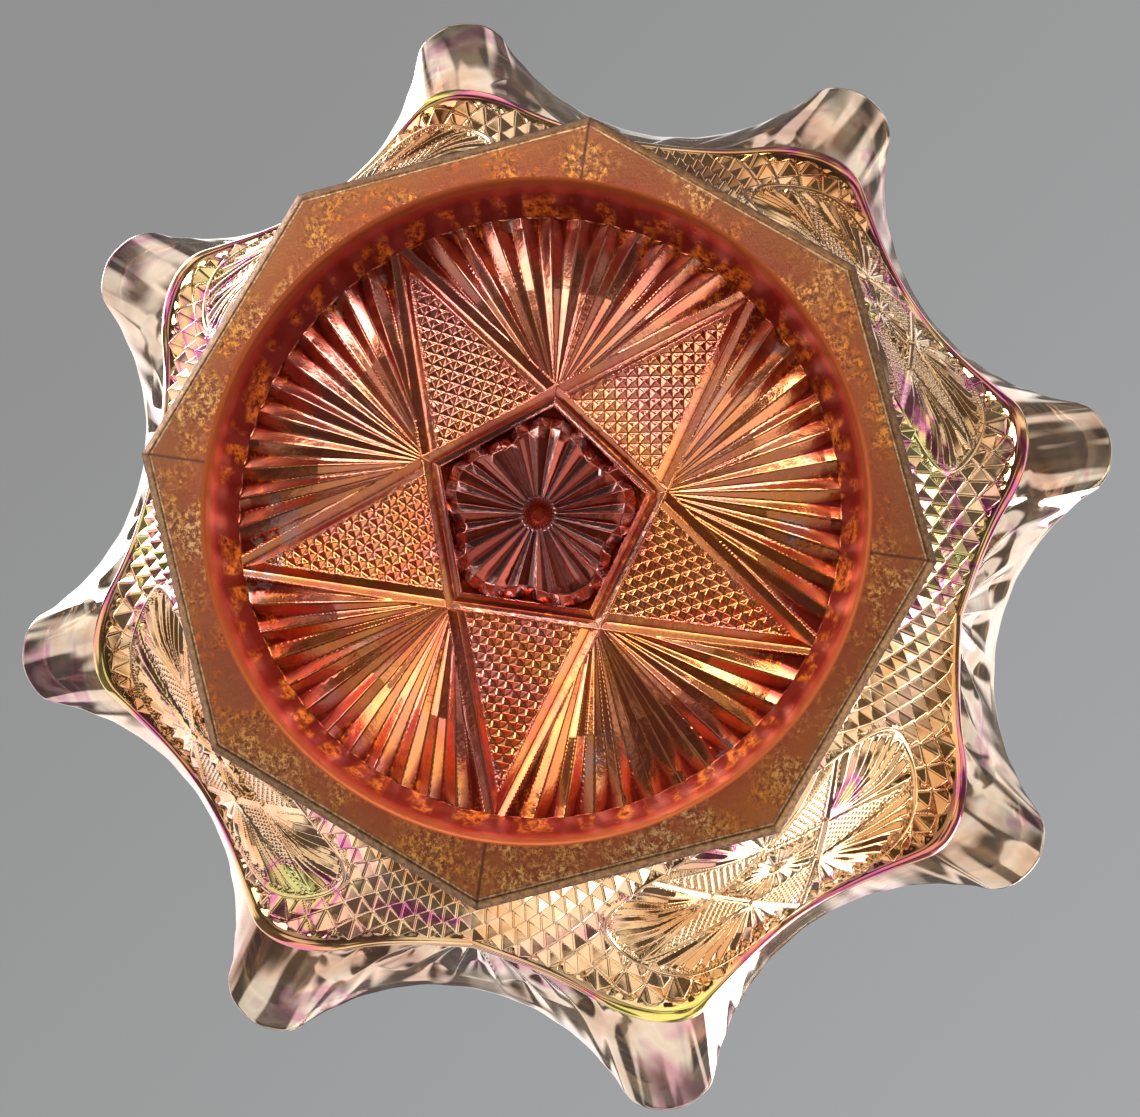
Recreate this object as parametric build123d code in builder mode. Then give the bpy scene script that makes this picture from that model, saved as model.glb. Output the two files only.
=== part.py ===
"""Footed art-glass bowl, standing upright.

The origin is the centre of the octagonal foot's flat face, +Z is up and the
foot's flats face the X and Y axes. Eight crimped lobes flare out of the rim,
one above each flat of the foot, and the rim is turned a few degrees round.
"""
import math
import os
from functools import cache

from build123d import *

# ---- driving dimensions, millimetres and degrees ----
bowl_height = 90.0          # foot's flat face to the highest edge of the rim
lobe_count = 8              # lobes in the rim, and sides of the foot
rim_turn = 3.0              # how far the crimped rim stands round from the foot

foot_across_corners = 124.0
foot_height = 11.5          # the octagonal ring below the bowl
foot_bevel = 1.4            # ground bevel round the resting face
foot_draft = 6.0            # degrees that the foot's sides lean in going up

recess_diameter = 101.4     # round recess inside the foot, at its mouth
recess_depth = 10.0         # resting face to the top of the star's relief
recess_draft = 10.0         # degrees that the recess narrows going up

base_seat = 3.0             # how far the base plate reaches over the foot ring
base_thickness = 7.0

wall_thickness = 4.4        # square to the glass
neck_radius = 57.0          # outside of the wall where it leaves the foot
notch_radius = 87.0         # outside of the rim midway between two lobes
lobe_flare_at_foot = 0.6    # how far a lobe stands past the notches, low down
lobe_flare_at_rim = 34.0    # and at the bowl's full height
flare_power = 3.6           # how late on its way up the wall flares
lobe_tip_radius = 8.6       # roundness of a lobe's nose at the rim
lobe_root_radius = 45.0     # and at the foot
root_power = 1.5            # how soon on its way up the nose tightens
lobe_drop = 6.0             # how far a lobe's tip hangs below the notches
edge_round = 1.6            # rounding of the fire-polished edge

ridge_high = 76.0           # top of the ridge that closes the pattern, above a medallion
ridge_low = 54.0            # and at the cusps between two of its arches
ridge_width = 4.5
ridge_step = 1.2            # how far the ridge stands out of the wall

star_points = 5
star_turn = 180.0 / lobe_count          # one corner of the star faces a corner of the foot
star_margin = 0.5           # plain ring between the star and the recess's wall
pentagon_radius = 19.0
rays_per_fan = 11
ray_depth = 1.3
ray_fill = 0.88             # share of a ray's pitch that its flute takes
fan_share = 0.86            # share of the angle between two star tips that a fan fills
ray_start = 0.2             # share of a cut's length left plain at its root
daisy_petals = 24
daisy_radius = 13.6
daisy_depth = 1.1
button_radius = 2.2         # deep spot in the middle of the daisy
button_depth = 1.8
field_depth = 0.7           # pocket that holds the fine diamond file
field_border = 1.7          # bar left round each field

medallion_count = 4         # round star medallions on the wall, one under each arch
medallion_height = 42.5     # middle of a medallion above the resting face
medallion_radius = 30.0
medallion_line = 1.6        # width of the raised line round a medallion
medallion_rise = 0.8
medallion_star_share = 0.94 # reach of the medallion's star, as a share of its radius
medallion_rays = 9          # raised rays in each fan of that star
medallion_ray_rise = 1.0
ray_crest = 0.66            # where a ray is widest and highest, as a share of its length
ray_root = 0.3              # how deep the rays are set into the glass

net_count = 88              # pyramids in one row of the net round the wall
net_pitch = 5.1             # height of a pyramid's place, measured up the wall
net_rise = 1.1
net_root = 0.3              # how deep the pyramids are set into the glass
net_fill = 0.96             # share of its place that a pyramid or a ray takes
net_clearance = 2.0         # from a pyramid's middle to the medallion's line and to the ridge

# ---- sizes that follow ----
foot_radius = foot_across_corners / 2
recess_mouth_radius = recess_diameter / 2
recess_slope = math.tan(math.radians(recess_draft))
recess_floor_radius = recess_mouth_radius - recess_depth * recess_slope
base_radius = recess_mouth_radius + base_seat
floor_height = recess_depth + base_thickness
star_radius = recess_floor_radius - star_margin
rise = bowl_height - foot_height
lobe_pitch = 360.0 / lobe_count
notch_angle = math.radians(lobe_pitch / 2)
medallion_pitch = 360.0 / medallion_count
medallion_turn = rim_turn + 1.5 * lobe_pitch


def height_share(z):
    """How far up the wall a level lies: 0 on the foot, 1 at the bowl's full height."""
    return (z - foot_height) / rise


def notch_reach(z):
    """Outside radius of the wall between two lobes."""
    return neck_radius + (notch_radius - neck_radius) * height_share(z)


def lobe_reach(z):
    """Outside radius of the wall at the middle of a lobe."""
    flare = (lobe_flare_at_rim - lobe_flare_at_foot) * height_share(z) ** flare_power
    return notch_reach(z) + lobe_flare_at_foot + flare


def lobe_roundness(z):
    """Radius of a lobe's nose, seen from above."""
    left = max(0.0, 1.0 - height_share(z))
    return lobe_tip_radius + (lobe_root_radius - lobe_tip_radius) * left ** root_power


def lean(reach, z):
    """Length along the wall for each millimetre of height, where reach(z) is its profile."""
    return math.hypot(1.0, (reach(z + 0.5) - reach(z - 0.5)))


def polar(radius, degrees):
    """A point in the plane of a sketch."""
    angle = math.radians(degrees)
    return Vector(radius * math.cos(angle), radius * math.sin(angle))


def lobed_outline(z, inset=0.0):
    """The wall's outline at one level: round noses joined by tangent arcs.

    A positive inset, square to the glass, gives the inside of the wall.
    """
    lobe = lobe_reach(z) - inset * lean(lobe_reach, max(z, foot_height + 0.5))
    notch = notch_reach(z) - inset * lean(notch_reach, z)
    nose = lobe_roundness(z) - inset
    centre_x = (lobe - nose) * math.cos(notch_angle)
    centre_y = (lobe - nose) * math.sin(notch_angle)
    # radius of the arc between two noses: hollow when positive, bulging when negative
    gap = centre_x - notch
    between = (gap ** 2 + centre_y ** 2 - nose ** 2) / (2 * (gap + nose))
    pull = math.copysign(1.0, between)
    away_x = pull * (notch + between - centre_x)
    away_y = pull * -centre_y
    reach = math.hypot(away_x, away_y)
    touch_x = centre_x + nose * away_x / reach
    touch_y = centre_y + nose * away_y / reach
    touch_radius = math.hypot(touch_x, touch_y)
    touch_angle = lobe_pitch / 2 - math.degrees(math.atan2(touch_y, touch_x))
    for index in range(lobe_count):
        middle = rim_turn + index * lobe_pitch
        start = polar(touch_radius, middle - touch_angle)
        end = polar(touch_radius, middle + touch_angle)
        after = polar(touch_radius, middle + lobe_pitch - touch_angle)
        ThreePointArc(start, polar(lobe, middle), end)
        ThreePointArc(end, polar(notch, middle + lobe_pitch / 2), after)


@cache
def outline_wire(z):
    """The wall's outline at one level, laid on the XY plane."""
    with BuildLine() as line:
        lobed_outline(z)
    return line.wire()


def wall_point(share, z):
    """A point on the wall's outside; share runs once round it from the middle of the first lobe."""
    wire = outline_wire(z)
    lobe_middle = wire.edges()[0].length / 2
    spot = wire.position_at((lobe_middle + share * wire.length) % wire.length, PositionMode.LENGTH)
    return Vector(spot.X, spot.Y, z)


def wall_plane(share, z):
    """A plane that lies on the wall's outside, with its X direction up the wall."""
    side_step = 0.002
    around = wall_point(share + side_step, z) - wall_point(share - side_step, z)
    up = wall_point(share, z + 1) - wall_point(share, z - 1)
    return Plane(origin=wall_point(share, z), x_dir=up, z_dir=around.cross(up))


def levels(low, high, count):
    """Evenly spaced heights, both ends included."""
    return [low + (high - low) * index / (count - 1) for index in range(count)]


def octagon(radius):
    """The foot's outline, with its flats facing the axes."""
    RegularPolygon(radius, lobe_count, rotation=180.0 / lobe_count)


def cut_ray(root, tip, half_width, depth):
    """A V-shaped cut into the underside that widens and deepens from root to tip."""
    run = tip - root
    across = Vector(0, 0, 1).cross(run).normalized()
    skim = 0.2
    with BuildPart() as ray:
        for share in (ray_start, 1.0):
            end = Vector(0, 0, recess_depth) + root + run * share
            wide = half_width * share
            deep = depth * share
            with BuildSketch(Plane(origin=end, x_dir=across, z_dir=run)):
                with BuildLine():
                    Polyline(
                        (-wide * (1 + skim), -deep * skim),
                        (wide * (1 + skim), -deep * skim),
                        (0, deep),
                        close=True,
                    )
                make_face()
        loft(ruled=True)
    return ray.part


def raised_point(plane, back, front, half_width, peak):
    """A low pyramid on a kite that reaches back and front along the plane's X direction."""
    with BuildSketch(plane) as kite:
        with BuildLine():
            Polyline((-back, 0), (0, -half_width), (front, 0), (0, half_width), close=True)
        make_face()
    with BuildPart() as body:
        top = Vertex(plane.from_local_coords((0, 0, peak)))
        loft(sections=(kite.sketch.face(), top), ruled=True)
    return body.part


# ---- foot ring: octagonal outside, round recess inside ----
with BuildPart() as foot_ring:
    with BuildSketch():
        octagon(foot_radius)
    extrude(amount=foot_height, taper=foot_draft)
    chamfer(foot_ring.faces().sort_by(Axis.Z)[0].edges(), length=foot_bevel)
    with BuildSketch():
        Circle(recess_mouth_radius)
    extrude(amount=foot_height, taper=recess_draft, mode=Mode.SUBTRACT)
foot_ring.part.label = "foot_ring"

# ---- base plate, with the cut star on its underside ----
pocket_plane = Plane.XY.offset(recess_depth)
star_tip_angle = 180.0 / star_points
fan_step = fan_share * 2 * star_tip_angle / (rays_per_fan - 1)
ray_half_width = star_radius * math.sin(math.radians(fan_step / 2)) * ray_fill
petal_half_width = daisy_radius * math.sin(math.pi / daisy_petals) * ray_fill

fan = []
for step in range(rays_per_fan):
    ray_tip = polar(star_radius, (step - (rays_per_fan - 1) / 2) * fan_step)
    fan.append(cut_ray(polar(pentagon_radius, 0), ray_tip, ray_half_width, ray_depth))
petal = cut_ray(Vector(0, 0, 0), polar(daisy_radius, 0), petal_half_width, daisy_depth)

with BuildPart() as star_base:
    with BuildSketch(pocket_plane):
        Circle(recess_floor_radius)
    extrude(amount=foot_height - recess_depth, taper=recess_draft)
    with BuildSketch(Plane.XY.offset(foot_height)):
        Circle(base_radius)
    extrude(amount=floor_height - foot_height)

    # a fan of cuts spreads from each corner of the pentagon
    with PolarLocations(0, star_points, start_angle=star_turn):
        for ray in fan:
            add(ray, mode=Mode.SUBTRACT)

    # three-cornered pockets of the diamond file, one on each side of the pentagon
    with BuildSketch(pocket_plane):
        for side in range(star_points):
            middle = star_turn + (2 * side + 1) * star_tip_angle
            with BuildLine():
                Polyline(
                    polar(pentagon_radius, middle - star_tip_angle),
                    polar(star_radius, middle),
                    polar(pentagon_radius, middle + star_tip_angle),
                    close=True,
                )
            make_face()
        offset(amount=-field_border, kind=Kind.INTERSECTION)
    extrude(amount=field_depth, mode=Mode.SUBTRACT)

    # daisy of petals inside the pentagon, round a deep spot
    with PolarLocations(0, daisy_petals, start_angle=star_turn):
        add(petal, mode=Mode.SUBTRACT)
    with BuildSketch(pocket_plane):
        Circle(button_radius)
    extrude(amount=button_depth, mode=Mode.SUBTRACT)
star_base.part.label = "star_base"

# ---- forms that the wall and the rim are cut from ----
overrun = 2.0               # the forms run past the edge and are then trimmed
form_steps = 11             # outlines that each loft runs through
form_levels = levels(foot_height, bowl_height + overrun, form_steps)

with BuildPart() as outer_form:
    for level in form_levels:
        with BuildSketch(Plane.XY.offset(level)):
            with BuildLine():
                lobed_outline(level)
            make_face()
    loft()

with BuildPart() as hollow_form:
    for level in levels(floor_height, bowl_height + overrun, form_steps):
        with BuildSketch(Plane.XY.offset(level)):
            with BuildLine():
                lobed_outline(level, wall_thickness)
            make_face()
    loft()

with BuildPart() as ridge_form:
    for level in form_levels:
        with BuildSketch(Plane.XY.offset(level)):
            with BuildLine():
                lobed_outline(level, -ridge_step)
            make_face()
    loft()

with BuildPart() as medallion_form:
    for level in form_levels:
        with BuildSketch(Plane.XY.offset(level)):
            with BuildLine():
                lobed_outline(level, -medallion_rise)
            make_face()
    loft()

# arches over the medallions: lying drums that cross, one for each facing pair
arch_half_width = notch_reach(ridge_low) * math.sin(math.radians(medallion_pitch / 2))
arch_rise = ridge_high - ridge_low
arch_radius = (arch_half_width ** 2 + arch_rise ** 2) / (2 * arch_rise)
arch_centre = ridge_high - arch_radius
arch_length = 4 * lobe_reach(bowl_height)


def arches(radius):
    """Everything under the arched top line of the pattern."""
    with BuildPart() as drums:
        for pair in range(medallion_count // 2):
            facing = math.radians(medallion_turn + pair * medallion_pitch)
            along = Vector(math.cos(facing), math.sin(facing), 0)
            with BuildSketch(Plane(origin=(0, 0, arch_centre), z_dir=along)):
                Circle(radius)
            extrude(amount=arch_length / 2, both=True)
    return drums.part


under_ridge = arches(arch_radius)
below_ridge = arches(arch_radius - ridge_width)

with BuildPart() as ridge:
    add(ridge_form.part)
    add(under_ridge, mode=Mode.INTERSECT)
    add(below_ridge, mode=Mode.SUBTRACT)

medallion_lean = math.degrees(math.atan((notch_radius - neck_radius) / rise))
medallion_reach = notch_reach(medallion_height)
medallion_planes = []
for index in range(medallion_count):
    facing = math.radians(medallion_turn + index * medallion_pitch)
    outward = Vector(math.cos(facing), math.sin(facing), -math.tan(math.radians(medallion_lean)))
    middle = Vector(
        medallion_reach * math.cos(facing), medallion_reach * math.sin(facing), medallion_height
    )
    medallion_planes.append(Plane(origin=middle, z_dir=outward))

with BuildPart() as medallion_lines:
    for plane in medallion_planes:
        with BuildSketch(plane):
            Circle(medallion_radius)
            Circle(medallion_radius - medallion_line, mode=Mode.SUBTRACT)
        extrude(amount=medallion_radius / 2, both=True)
    add(medallion_form.part, mode=Mode.INTERSECT)

# star of raised rays in the medallion of one quarter of the wall
wall_slope = lean(notch_reach, medallion_height)
medallion_share = 1.5 / lobe_count
medallion_star = medallion_radius * medallion_star_share
medallion_corner = medallion_star * pentagon_radius / star_radius
medallion_step = fan_share * 2 * star_tip_angle / medallion_rays
medallion_ray_width = ray_crest * math.radians(medallion_step) * medallion_star / 2 * net_fill


def medallion_plane(spot):
    """A plane on the wall, for a spot of the star that has its X down and its Y round the wall."""
    z = medallion_height - spot.X / wall_slope
    return wall_plane(medallion_share + spot.Y / outline_wire(z).length, z)


def raised_ray(root, tip):
    """A long low pyramid that follows the wall from the root to the tip of a ray."""
    low = medallion_plane(root).origin
    run = medallion_plane(tip).origin - low
    crest = medallion_plane(root + (tip - root) * ray_crest)
    outward = crest.z_dir - run.normalized() * crest.z_dir.dot(run.normalized())
    outward = outward.normalized()
    straight = low + run * ray_crest
    hollow = min(0.0, (crest.origin - straight).dot(outward))
    seat = Plane(origin=straight + outward * (hollow - ray_root), x_dir=run, z_dir=outward)
    peak = (crest.origin - seat.origin).dot(outward) + medallion_ray_rise
    back = run.length * (ray_crest - ray_start)
    return raised_point(seat, back, run.length * (1 - ray_crest), medallion_ray_width, peak)


quarter_relief = []
for corner in range(star_points):
    facing = 2 * corner * star_tip_angle
    for step in range(medallion_rays):
        ray_tip = polar(medallion_star, facing + (step - (medallion_rays - 1) / 2) * medallion_step)
        quarter_relief.append(raised_ray(polar(medallion_corner, facing), ray_tip))


def in_net(place):
    """Whether a pyramid at this plane on the wall lies clear of the medallion and the ridge."""
    spot = place.origin
    off = math.atan2(spot.Y, spot.X) - math.radians(medallion_turn)
    across = math.hypot(spot.X, spot.Y) * math.sin(off)
    round_wall = off / (2 * math.pi) * outline_wire(spot.Z).length
    up_wall = (spot.Z - medallion_height) * wall_slope
    from_medallion = math.hypot(round_wall, up_wall) - medallion_radius - medallion_line
    below_arch = arch_radius - math.hypot(across, spot.Z - arch_centre) - ridge_width
    return min(from_medallion, below_arch) > net_clearance


# net of pyramids over the rest of that quarter, in rows set half a place apart
quarter_start = 0.5 / lobe_count
net_half_length = net_pitch / 2 * net_fill
row_step = net_pitch / 2 / wall_slope
for row in range(1, int((ridge_high - foot_height) / row_step)):
    row_height = foot_height + row * row_step
    net_half_width = outline_wire(row_height).length / net_count / 2 * net_fill
    for column in range(net_count // medallion_count):
        place = wall_plane(quarter_start + (column + row % 2 / 2) / net_count, row_height)
        if in_net(place):
            seat = place.offset(-net_root)
            quarter_relief.append(
                raised_point(seat, net_half_length, net_half_length, net_half_width, net_root + net_rise)
            )

# ---- patterned wall, from the foot to the ridge ----
with BuildPart() as patterned_wall:
    add(outer_form.part)
    add(under_ridge, mode=Mode.INTERSECT)
    add(medallion_lines.part)
    add(ridge.part)
    add(hollow_form.part, mode=Mode.SUBTRACT)
    with BuildSketch(Plane.XY.offset(foot_height)):
        Circle(base_radius)
    extrude(amount=floor_height - foot_height, mode=Mode.SUBTRACT)
    with PolarLocations(0, medallion_count):
        add(quarter_relief)
patterned_wall.part.label = "patterned_wall"

# ---- plain ruffled margin above the ridge, its edge sloping down to the lobes ----
tip_reach = lobe_reach(bowl_height - lobe_drop)
inner_notch = notch_radius - wall_thickness
edge_slope = lobe_drop / (tip_reach - inner_notch)
trim_reach = tip_reach * 1.5

with BuildPart() as ruffled_rim:
    add(outer_form.part)
    add(under_ridge, mode=Mode.SUBTRACT)
    add(hollow_form.part, mode=Mode.SUBTRACT)
    with BuildSketch(Plane.XZ):
        with BuildLine():
            Polyline(
                (0, bowl_height + inner_notch * edge_slope),
                (trim_reach, bowl_height - (trim_reach - inner_notch) * edge_slope),
                (trim_reach, bowl_height * 2),
                (0, bowl_height * 2),
                close=True,
            )
        make_face()
    revolve(axis=Axis.Z, mode=Mode.SUBTRACT)
    edge_face = ruffled_rim.faces().sort_by(Axis.Z)[-1]
    fillet(edge_face.edges(), radius=edge_round)
ruffled_rim.part.label = "ruffled_rim"

# ---- written files ----
os.makedirs("parts", exist_ok=True)
for piece in (foot_ring, star_base, patterned_wall, ruffled_rim):
    export_step(piece.part, f"parts/{piece.part.label}.step")
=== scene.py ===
"""Looks of the ruffled carnival-glass bowl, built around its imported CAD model.

The bowl stands upright on its octagonal foot, and the main camera looks up at
its underside. All shapes are worked out in the row frame in millimetres, as
smooth surfaces with the pressed pattern laid on them as relief, and turned
into meshes in metres.
"""
import math

import bpy
import numpy as np
from mathutils import Matrix, Vector


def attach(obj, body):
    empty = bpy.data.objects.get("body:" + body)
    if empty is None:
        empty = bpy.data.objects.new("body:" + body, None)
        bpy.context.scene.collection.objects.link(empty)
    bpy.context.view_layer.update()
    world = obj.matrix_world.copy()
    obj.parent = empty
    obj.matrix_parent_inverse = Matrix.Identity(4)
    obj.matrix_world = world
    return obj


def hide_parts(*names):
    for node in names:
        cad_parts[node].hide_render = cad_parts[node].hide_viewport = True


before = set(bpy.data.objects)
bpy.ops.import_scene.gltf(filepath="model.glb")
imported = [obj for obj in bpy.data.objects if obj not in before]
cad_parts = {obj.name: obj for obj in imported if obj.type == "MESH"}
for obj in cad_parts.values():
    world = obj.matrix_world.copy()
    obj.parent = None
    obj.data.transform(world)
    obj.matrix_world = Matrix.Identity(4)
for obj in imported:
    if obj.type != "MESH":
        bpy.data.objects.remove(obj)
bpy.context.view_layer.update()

MM = 0.001
TURN = 2 * math.pi
FINE = 1.0        # share of the mesh's full fineness

# ---- sizes shared with the CAD model, in millimetres and degrees ----
BOWL_HEIGHT = 90.0
LOBES = 8
RIM_TURN = 3.0
FOOT_HEIGHT = 11.5
RECESS_DEPTH = 10.0
BASE_THICKNESS = 7.0
FLOOR_HEIGHT = RECESS_DEPTH + BASE_THICKNESS
RECESS_MOUTH = 50.7
RECESS_SLOPE = math.tan(math.radians(10.0))
RECESS_FLOOR = RECESS_MOUTH - RECESS_DEPTH * RECESS_SLOPE
FOOT_SIDES = 8
FOOT_RADIUS = 62.0
FOOT_BEVEL = 1.4
FOOT_DRAFT = 6.0
MOUTH_ROUND = 0.8                        # radius of the recess's rounded mouth
WALL = 4.4
NECK_RADIUS, NOTCH_RADIUS = 57.0, 87.0
FLARE_LOW, FLARE_HIGH, FLARE_POWER = 0.6, 34.0, 3.6
TIP_RADIUS, ROOT_RADIUS, ROOT_POWER = 8.6, 45.0, 1.5
LOBE_DROP = 6.0
RIDGE_HIGH, RIDGE_LOW, RIDGE_WIDTH, RIDGE_STEP = 76.0, 54.0, 4.5, 1.2
STAR_POINTS = 5
STAR_TURN = 22.5
STAR_RADIUS = RECESS_FLOOR - 0.5
STAR_CORNER = 19.0 / STAR_RADIUS         # reach of the pentagon's corners, as a share of the star's
MEDALLIONS = 4
MEDALLION_HEIGHT, MEDALLION_RADIUS = 42.5, 30.8
MEDALLION_TURN = RIM_TURN + 1.5 * 360.0 / LOBES

HALF_PITCH = math.pi / LOBES
RISE = BOWL_HEIGHT - FOOT_HEIGHT


# ---- the bowl's smooth form ----
def profile(z):
    """Outside radii of the wall at a notch and at a lobe, and the lobe's roundness."""
    share = (z - FOOT_HEIGHT) / RISE
    notch = NECK_RADIUS + (NOTCH_RADIUS - NECK_RADIUS) * share
    flare = (FLARE_HIGH - FLARE_LOW) * np.clip(share, 0, None) ** FLARE_POWER
    nose = TIP_RADIUS + (ROOT_RADIUS - TIP_RADIUS) * np.clip(1 - share, 0, 1) ** ROOT_POWER
    return notch, notch + FLARE_LOW + flare, nose


def outline(u, z, inset=0.0):
    """Points of the wall's outline at heights z: u runs from 0 to 1 by arc length.

    Returns x, y, the azimuth, the radius and the length of the whole outline.
    """
    notch, lobe, nose = profile(z)
    if inset:
        above, below = profile(z + 0.5), profile(z - 0.5)
        notch = notch - inset * np.hypot(1.0, above[0] - below[0])
        lobe = lobe - inset * np.hypot(1.0, above[1] - below[1])
        nose = nose - inset
    centre = lobe - nose
    cx, cy = centre * math.cos(HALF_PITCH), centre * math.sin(HALF_PITCH)
    between = ((cx - notch) ** 2 + cy ** 2 - nose ** 2) / (2 * (cx - notch + nose))
    pull = np.sign(between)
    turn = np.arctan2(-pull * cy, pull * (notch + between - cx))
    nose_span = HALF_PITCH - turn
    nose_length = nose * nose_span
    half_length = nose_length + np.abs(between * turn)

    spot = u * LOBES
    sector = np.floor(spot + 0.5)
    side = np.where(spot >= sector, 1.0, -1.0)
    along = np.abs(spot - sector) * 2 * half_length
    on_nose = along <= nose_length
    a = np.where(on_nose, along, 0) / nose
    b = np.where(on_nose, 0, half_length - along) / np.abs(between)
    nx, ny = centre + nose * np.cos(a), nose * np.sin(a)
    bx = notch + between - between * np.cos(b)
    by = np.abs(between) * np.sin(b)
    radius = np.where(on_nose, np.hypot(nx, ny), np.hypot(bx, by))
    off_lobe = np.where(on_nose, np.arctan2(ny, nx), HALF_PITCH - np.arctan2(by, bx))
    azimuth = math.radians(RIM_TURN) + sector * 2 * HALF_PITCH + side * off_lobe
    return radius * np.cos(azimuth), radius * np.sin(azimuth), azimuth, radius, half_length * 2 * LOBES


ARCH_HALF = float(profile(np.array(RIDGE_LOW))[0]) * math.sin(math.pi / MEDALLIONS)
ARCH_RISE = RIDGE_HIGH - RIDGE_LOW
ARCH_RADIUS = (ARCH_HALF ** 2 + ARCH_RISE ** 2) / (2 * ARCH_RISE)
ARCH_CENTRE = RIDGE_HIGH - ARCH_RADIUS
EDGE_IN = NOTCH_RADIUS - WALL
TIP_REACH = float(profile(np.array(BOWL_HEIGHT - LOBE_DROP))[1])
EDGE_SLOPE = LOBE_DROP / (TIP_REACH - EDGE_IN)


def from_medallion(azimuth):
    """Angle from the nearest medallion's middle."""
    step = TURN / MEDALLIONS
    turn = azimuth - math.radians(MEDALLION_TURN)
    return turn - np.round(turn / step) * step


def under_arch(z, azimuth, radius):
    """How far a point lies under the pattern's arched top line, seen square on."""
    return ARCH_RADIUS - np.hypot(radius * np.sin(from_medallion(azimuth)), z - ARCH_CENTRE)


def solve_height(inside, low, high, like):
    """Heights at which inside(z) turns from true to false, found by halving."""
    low, high = np.full_like(like, low), np.full_like(like, high)
    for _ in range(40):
        middle = (low + high) / 2
        good = inside(middle)
        low, high = np.where(good, middle, low), np.where(good, high, middle)
    return low


def ridge_line(u):
    """Height of the ridge all round."""
    def inside(z):
        azimuth, radius = outline(u, z)[2:4]
        return under_arch(z, azimuth, radius) > 0
    return solve_height(inside, RIDGE_LOW - 9.0, RIDGE_HIGH + 4.0, u)


def edge_line(u, inset=0.0):
    """Height of the rim's edge all round, which slopes down towards the lobes."""
    def inside(z):
        radius = outline(u, z, inset)[3]
        return z < BOWL_HEIGHT - (radius - EDGE_IN) * EDGE_SLOPE
    return solve_height(inside, BOWL_HEIGHT - 20.0, BOWL_HEIGHT + 5.0, u)


# ---- relief of the cut star, shared by the base and the medallions ----
# heights and reaches are shares of the star's radius, unless they say otherwise
FAN_SHARE = 0.88                         # share of the angle between two bars that a fan fills
RAY_TIPS = 0.985, 0.92                   # where even and odd rays end on the way to the star's circle
RAY_TAPER = 0.58                         # where on that way a ray begins to narrow
RAY_CREST, RAY_GAP = 0.032, 0.020        # highest crest of a ray, and depth between the rays' ends
GROOVE_HALF, GROOVE_EDGE = 0.030, 0.008  # half width and raised edge of the bars and pentagon's sides
BAR_DEPTH, SIDE_DEPTH = 0.019, 0.024     # of their grooves, down from that edge
FILE_RISE, FILE_SINK = 0.36, 0.006       # rise of a file pyramid as a share of its pitch, and its foot
PETAL_REACH, PETAL_MORE = 0.262, 0.062   # reach of the daisy's petals, and what corners add to it
PETAL_CREST, PETAL_GROUND = 0.026, 0.034  # their highest crest, and the depth round them
PETAL_TAPER = 0.038                      # stretch in which a petal narrows to its tip
BUTTON_DEPTH, BUTTON_REACH = 0.03, 0.06  # the hollow in the daisy's middle


def saw(value):
    """0 on whole numbers and 1 midway between them."""
    return 1 - np.abs(1 - 2 * (value - np.floor(value)))


def off_middle(value):
    """0 midway between whole numbers and 1 on them."""
    return np.abs(value - np.floor(value) - 0.5) * 2


def from_side(turn, half):
    """Angle from the nearest side's middle, for an angle from the nearest corner."""
    return np.where(turn >= 0, turn - half, turn + half)


def smooth_step(low, high, value):
    """0 below low and 1 above high, with a smooth passage."""
    t = np.clip((value - low) / (high - low), 0, 1)
    return t * t * (3 - 2 * t)


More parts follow.
